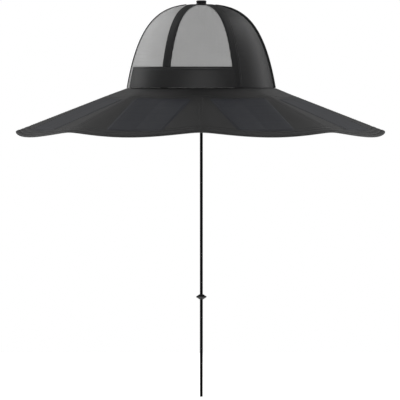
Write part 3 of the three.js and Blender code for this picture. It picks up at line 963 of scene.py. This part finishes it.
# Black polyester plain weave: a dark body colour with a broad soft gloss that follows the light. Its
# threads stand 0.4 mm apart and are drawn 1.3 mm apart, so that the weave shows.
crown_cloth = woven(
    "crown_polyester_plain_weave", "#1D1D1E", across=1.3 * MM, down=1.3 * MM, valley_shade=0.1, bump=0.1 * MM,
    Roughness=0.5, IOR=1.5, Specular_IOR_Level=0.42,
)
# The brim's heavier polyester: smoother and a little glossier, with its threads drawn 1.4 mm apart.
brim_polyester = woven(
    "brim_polyester_plain_weave", "#1D1D1D", across=1.4 * MM, down=1.4 * MM, valley_shade=0.08, bump=0.08 * MM,
    Roughness=0.4, IOR=1.5, Specular_IOR_Level=0.6,
)
# Ribbed grosgrain tape: cross ribs 1.2 mm apart catch light in fine lines.
grosgrain = woven(
    "seam_grosgrain_tape", "#1D1D1E", across=6 * MM, down=1.2 * MM, valley_shade=0.12, bump=0.12 * MM,
    Roughness=0.5, IOR=1.5, Specular_IOR_Level=0.31,
)
# The same tape brushed dull, down the front and the back, and the cap's cloth: almost no gloss.
brushed_tape = woven(
    "seam_brushed_tape", "#151516", across=6 * MM, down=1.2 * MM, valley_shade=0.12, bump=0.12 * MM,
    Roughness=0.9, IOR=1.5, Specular_IOR_Level=0.05,
)
# Bias binding, pressed round the hem: duller than the cloth beside it, with its threads drawn 1.2 mm apart.
bias_binding = woven(
    "hem_bias_binding", "#1D1D1D", across=1.2 * MM, down=1.2 * MM, valley_shade=0.1, bump=0.1 * MM,
    Roughness=0.55, IOR=1.5, Specular_IOR_Level=0.4,
)
# Spun polyester sewing thread, dyed to match the cloth that it lies on.
sewing_thread = moulded(
    "polyester_sewing_thread", "#202021", grain=0.5 * MM, bump=0.05 * MM,
    Roughness=0.6, IOR=1.5, Specular_IOR_Level=0.4,
)
# Grey polyester monofilament net: smooth yarn that catches light along its length. A real net's holes are
# about 1 mm apart, and these are drawn 2 mm apart, so that they show.
net_yarn = moulded(
    "net_polyester_monofilament", "#AEAEAE", grain=0.6 * MM, bump=0.02 * MM,
    Roughness=0.5, IOR=1.55, Specular_IOR_Level=0.8, Sheen_Weight=0.4, Sheen_Roughness=0.4,
)


def laminate():
    """Solar cells under clear satin film: blue-black, with faint printed collector lines, each the top of
    a sine."""
    material, tree, shader = new_material(
        "solar_cell_laminate", Roughness=0.42, IOR=1.5, Specular_IOR_Level=0.4
    )
    place = add(tree, "ShaderNodeUVMap", uv_map="Surface").outputs["UV"]
    down = add(tree, "ShaderNodeSeparateXYZ", {"Vector": place}).outputs["Y"]
    turned = add(tree, "ShaderNodeMath", {0: down, 1: TURN / COLLECTOR_PITCH}, operation="MULTIPLY")
    lines = add(tree, "ShaderNodeMath", {0: turned.outputs[0]}, operation="SINE").outputs[0]
    range_of_tone = {"Value": lines, "From Min": 0.8, "To Min": 1, "To Max": 1.12}
    level = add(tree, "ShaderNodeMapRange", range_of_tone)
    base = mottled(tree, linear("#282A30"), LAMINATE_PATCH, 0.05)
    tone = add(tree, "ShaderNodeHueSaturation", {"Color": base, "Value": level.outputs["Result"]})
    tree.links.new(tone.outputs["Color"], shader.inputs["Base Color"])
    return material


solar_laminate = laminate()
# Powder-coated steel: dead matt black with a very fine orange-peel grain.
powder_coat = moulded(
    "pole_powder_coated_steel", "#060607", grain=0.8 * MM, bump=0.02 * MM,
    Roughness=0.8, IOR=1.5, Specular_IOR_Level=0.04,
)
# Moulded black nylon with a light spark-eroded grain.
lock_nylon = moulded(
    "lock_moulded_nylon", "#161617", grain=0.5 * MM, bump=0.04 * MM,
    Roughness=0.5, IOR=1.53, Specular_IOR_Level=0.3,
)
# Moulded black ABS, a shade lighter than the lock ring's nylon.
holder_abs = moulded(
    "holder_moulded_abs", "#2A2A2B", grain=0.7 * MM, bump=0.05 * MM, Roughness=0.55, IOR=1.54
)
# The floor: an opal acrylic sheet lit evenly from inside, which leaves soft shadows only.
floor_acrylic = moulded(
    "floor_opal_acrylic", "#F4F4F2", grain=4 * MM, bump=0.02 * MM,
    Roughness=0.9, IOR=1.49, Specular_IOR_Level=0.1, Emission_Color=(1, 1, 1, 1), Emission_Strength=1.05,
)


# The object's pieces

# Each tape: its place, its seam, its ribbon, and whether a band covers its foot
tapes = (
    ("front", 0, brushed_tape, False),
    ("front_left", 1, grosgrain, False),
    ("rear_left", 2, grosgrain, True),
    ("rear", 3, brushed_tape, False),
    ("rear_right", 4, grosgrain, True),
    ("front_right", 5, grosgrain, False),
)
tape_rows = []
for place, step, ribbon, under_band in tapes:
    seam = step * SEAM_STEP
    piece(f"tape_{place}", [tape(seam, under_band)], ribbon, f"seam_tape_{place}")
    tape_rows += tape_stitches(seam, under_band)
piece("tape_stitching", tape_rows, sewing_thread)

piece("front_gore_left", cloth_gore(0), crown_cloth, "crown_front_left")
piece("front_gore_right", cloth_gore(5 * SEAM_STEP), crown_cloth, "crown_front_right")
# Each net: its place, its side, and the seam that it starts at
nets = (
    ("side", "left", 1),
    ("rear", "left", 2),
    ("rear", "right", 3),
    ("side", "right", 4),
)
for place, side, step in nets:
    net = net_gore(step * SEAM_STEP)
    piece(f"{place}_net_{side}", net, net_yarn, f"crown_{place}_net_{side}")
for side, sign in (("left", 1), ("right", -1)):
    piece(f"band_{side}", band(sign), crown_cloth, f"crown_band_{side}")
    piece(f"band_stitching_{side}", band_stitches(sign), sewing_thread)
piece("cap_patch", cap(), brushed_tape, "crown_cap")
piece("covered_button", [button()], grosgrain, "crown_button")

piece("brim", brim_cloth(), brim_polyester, "brim_cloth")
piece("hem", hem_binding(), bias_binding, "brim_hem_binding")
piece("brim_stitching", brim_stitches() + ridge_stitches(), sewing_thread)
piece("hem_stitching", binding_stitches(), sewing_thread)
for number in range(1, RIDGES + 1):
    middle = (number - 0.5) * TURN / RIDGES
    panel = solar_panel(middle)
    piece(f"solar_laminate_{number}", panel, solar_laminate, f"solar_panel_{number}")
    piece(f"solar_stitching_{number}", panel_stitches(middle), sewing_thread)

lower_pole = pole(0, POLE_JOINT_Z - GAP / 2)
upper_pole = pole(POLE_JOINT_Z + GAP / 2, HOLDER_TOP_Z - SOCKET_ROOF - GAP)
piece("lower_pole", lower_pole, powder_coat, "pole_lower")
piece("upper_pole", upper_pole, powder_coat, "pole_upper")
piece("lock_ring", lock_ring(), lock_nylon, "pole_lock_ring")
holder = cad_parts["hat_holder"]
holder.data.materials.clear()
holder.data.materials.append(holder_abs)


# Floor, light and camera


def floor():
    """A round floor under the pole's foot, 3 m in radius."""
    angle = np.linspace(0, TURN, 97)
    radius = np.array([0, 1, 3])[:, None]
    flat = np.stack([radius * np.cos(angle), radius * np.sin(angle), 0 * radius * angle], axis=-1)
    points, faces, _ = surface(flat, flat[..., :2])
    mesh = bpy.data.meshes.new("studio_floor")
    mesh.from_pydata(points.tolist(), [], faces.tolist())
    mesh.materials.append(floor_acrylic)
    made = bpy.data.objects.new("studio_floor", mesh)
    bpy.context.collection.objects.link(made)


def softbox(name, azimuth, elevation, distance, size, power):
    """A square area light that faces the hat. Degrees, with azimuth from the camera towards +X."""
    light = bpy.data.lights.new(name, "AREA")
    light.shape = "SQUARE"
    light.size = size
    light.energy = power
    turned = np.radians(azimuth)
    raised = np.radians(elevation)
    along = Vector((np.sin(turned) * np.cos(raised), -np.cos(turned) * np.cos(raised), np.sin(raised)))
    made = bpy.data.objects.new(name, light)
    made.location = Vector((0, 0, CROWN_BASE_Z)) + distance * along
    made.rotation_euler = along.to_track_quat("Z", "Y").to_euler()
    bpy.context.collection.objects.link(made)


def studio_world():
    """White for the camera, and next to no light from all round for the object."""
    world = bpy.data.worlds.new("studio")
    world.use_nodes = True
    tree = world.node_tree
    tree.nodes.clear()
    seen = add(tree, "ShaderNodeBackground", {"Color": (1, 1, 1, 1), "Strength": 1.0})
    lit = add(tree, "ShaderNodeBackground", {"Color": (1, 1, 1, 1), "Strength": 0.01})
    ray = add(tree, "ShaderNodeLightPath").outputs["Is Camera Ray"]
    mix = add(tree, "ShaderNodeMixShader", {0: ray, 1: lit.outputs[0], 2: seen.outputs[0]})
    add(tree, "ShaderNodeOutputWorld", {"Surface": mix.outputs[0]})
    bpy.context.scene.world = world


def camera():
    """A very long lens far in front of the hat's right side, a fraction of a degree above it."""
    distance = 16
    frame_width = 552 * MM
    elevation = np.radians(0.4)
    middle_x = -1.86 * MM
    middle_z = 271.6 * MM
    target = Vector((middle_x, 0, middle_z))
    data = bpy.data.cameras.new("camera")
    data.sensor_width = 36
    data.lens = data.sensor_width * distance / frame_width
    data.clip_end = 100
    made = bpy.data.objects.new("camera", data)
    made.location = target + distance * Vector((0, -np.cos(elevation), np.sin(elevation)))
    made.rotation_euler = (target - made.location).to_track_quat("-Z", "Y").to_euler()
    bpy.context.collection.objects.link(made)
    bpy.context.scene.camera = made


floor()
studio_world()
softbox("camera_side", azimuth=0, elevation=8, distance=3, size=0.6, power=23.5)
softbox("overhead", azimuth=0, elevation=90, distance=2.6, size=2, power=7)
# The softboxes that stand on both sides: name, azimuth, elevation and power
pairs = (
    ("above", 90, 48, 20.5),
    ("side", 110, 12, 16),
    ("rear", 130, 32, 12.5),
    ("rear_high", 150, 45, 2.5),
    ("behind", 165, 25, 1),
)
for side, sign in (("left", -1), ("right", 1)):
    for place, azimuth, elevation, power in pairs:
        softbox(f"{side}_{place}", azimuth * sign, elevation, distance=3, size=1.2, power=power)
bpy.context.scene.view_settings.view_transform = "Standard"
camera()
